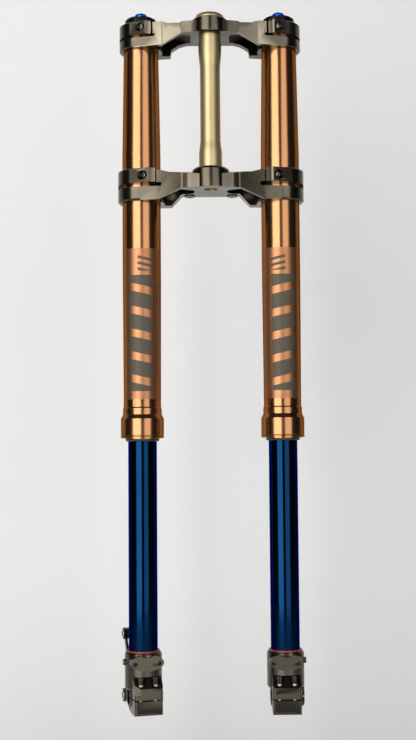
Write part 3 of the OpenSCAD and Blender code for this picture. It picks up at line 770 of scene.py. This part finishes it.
@dataclass
class Studio:
    """Pale floor and wall, two tall soft lights and the camera."""

    wall_y: float = 0.62
    floor_z: float = -1.02
    half_width: float = 6.0
    height: float = 4.0
    sweep: float = 0.35
    sweep_steps: int = 12
    floor_depth: float = 6.0
    paint: str = "#d9dce1"
    light_colour: tuple[float, float, float] = (1.0, 0.96, 0.89)
    light_reach: float = 2.5
    light_low: float = -1.0
    light_high: float = 1.6
    left_light: float = 5.4
    right_light: float = 2.8
    camera_y: float = -1.765
    camera_z: float = -0.4156
    pitch: float = 3.7
    roll: float = -0.44
    lens: float = 58.14
    shift: tuple[float, float] = (-0.0057, 0.0)

    def build(self) -> None:
        """Makes the studio around the fork."""
        self.backdrop()
        self.world()
        # Plan angles that each soft light covers as seen from the fork, in degrees.
        self.soft_light("soft_light_left", -50, -8, self.left_light)
        self.soft_light("soft_light_right", 11, 46, self.right_light)
        self.camera()

    def backdrop(self) -> None:
        """Makes the floor and wall as one swept sheet, seen only from inside."""
        deselect()
        bpy.ops.mesh.primitive_plane_add(size=1)
        sheet = bpy.context.object
        sheet.name = sheet.data.name = "studio_sheet"
        depth = self.wall_y - self.sweep + self.floor_depth
        sheet.scale = (2 * self.half_width, depth, 1)
        sheet.location = (0, self.wall_y - self.sweep - depth / 2, self.floor_z)
        settle(sheet)
        edge_y = self.wall_y - self.sweep
        for edge in sheet.data.edges:
            edge.select = all(abs(sheet.data.vertices[i].co.y - edge_y) < 1e-4 for i in edge.vertices)
        for face in sheet.data.polygons:
            face.select = False
        for vertex in sheet.data.vertices:
            vertex.select = abs(vertex.co.y - edge_y) < 1e-4
        bpy.ops.object.mode_set(mode="EDIT")
        bpy.ops.mesh.select_mode(type="EDGE")
        for i in range(self.sweep_steps):
            a0, a1 = (math.pi / 2 * k / self.sweep_steps for k in (i, i + 1))
            back = self.sweep * (math.sin(a1) - math.sin(a0))
            rise = self.sweep * (math.cos(a0) - math.cos(a1))
            move = (0, back, rise)
            bpy.ops.mesh.extrude_region_move(TRANSFORM_OT_translate={"value": move})
        bpy.ops.mesh.extrude_region_move(TRANSFORM_OT_translate={"value": (0, 0, self.height)})
        bpy.ops.object.mode_set(mode="OBJECT")
        smooth(sheet, 40)
        sheet.data.materials.append(self.sheet_material())

    def sheet_material(self) -> bpy.types.Material:
        """Matt pale paint that can't be seen from behind."""
        material = bpy.data.materials.new("pale_studio_paint")
        material.use_nodes = True
        tree = material.node_tree
        shader = tree.nodes["Principled BSDF"]
        shader.inputs["Base Color"].default_value = srgb(self.paint)
        shader.inputs["Roughness"].default_value = 0.9
        shader.inputs["Specular IOR Level"].default_value = 0.1
        clear = add_node(tree, "BsdfTransparent")
        behind = add_node(tree, "NewGeometry").outputs["Backfacing"]
        mix = add_node(tree, "MixShader", {0: behind, 1: shader.outputs[0], 2: clear.outputs[0]})
        tree.links.new(mix.outputs[0], tree.nodes["Material Output"].inputs["Surface"])
        return material

    def world(self) -> None:
        """Dim room to the eye of a mirror, and a pale one straight on."""
        world = bpy.data.worlds.new("studio_room")
        bpy.context.scene.world = world
        world.use_nodes = True
        tree = world.node_tree
        tree.nodes.clear()
        path = add_node(tree, "LightPath").outputs["Is Camera Ray"]
        room = add_node(tree, "Background", {"Color": srgb("#5a5856"), "Strength": 0.35})
        seen = add_node(tree, "Background", {"Color": srgb("#dfe0e1"), "Strength": 1.0})
        mix = add_node(tree, "MixShader", {0: path, 1: room.outputs[0], 2: seen.outputs[0]})
        output = add_node(tree, "OutputWorld")
        tree.links.new(mix.outputs[0], output.inputs["Surface"])

    def soft_light(self, name: str, start: float, end: float, radiance: float) -> None:
        """Adds a tall soft light that faces the fork.

        Args:
            name: Name of the light.
            start: Plan angle of one upright edge from straight ahead, in degrees.
            end: Plan angle of the other.
            radiance: Brightness of its face.
        """
        reach, low, high = self.light_reach, self.light_low, self.light_high
        corners = [Vector((reach * math.sin(math.radians(a)), -reach * math.cos(math.radians(a)), 0))
                   for a in (start, end)]
        width = (corners[1] - corners[0]).length
        data = bpy.data.lights.new(name, "AREA")
        data.shape, data.size, data.size_y = "RECTANGLE", width, high - low
        data.energy = radiance * math.pi * width * (high - low)
        data.color = self.light_colour
        light = bpy.data.objects.new(name, data)
        bpy.context.scene.collection.objects.link(light)
        middle = (corners[0] + corners[1]) / 2
        light.location = (middle.x, middle.y, (low + high) / 2)
        facing = Vector((-middle.x, -middle.y, 0))
        light.rotation_euler = facing.to_track_quat("-Z", "Y").to_euler()

    def camera(self) -> None:
        """Adds the camera."""
        data = bpy.data.cameras.new("camera")
        data.lens, data.sensor_width = self.lens, 36.0
        data.shift_x, data.shift_y = self.shift
        data.clip_end = 30
        camera = bpy.data.objects.new("camera", data)
        bpy.context.scene.collection.objects.link(camera)
        tilt = Matrix.Rotation(math.radians(90 + self.pitch), 4, "X")
        turn = tilt @ Matrix.Rotation(math.radians(self.roll), 4, "Z")
        camera.matrix_world = Matrix.Translation((0, self.camera_y, self.camera_z)) @ turn
        bpy.context.scene.camera = camera


def main() -> None:
    """Builds the fork and the studio in order."""
    logging.basicConfig(level=logging.INFO, format="%(message)s")
    bpy.context.scene.view_settings.view_transform = "Standard"
    Studio().build()
    Clamps().build()
    Stem().build()
    for side in Side:
        UpperLeg(side).build()
        LowerLeg(side).build()
        Spring(side).build()
        InnerWorks(side).dress()
    deselect()


if __name__ == "__main__":
    main()
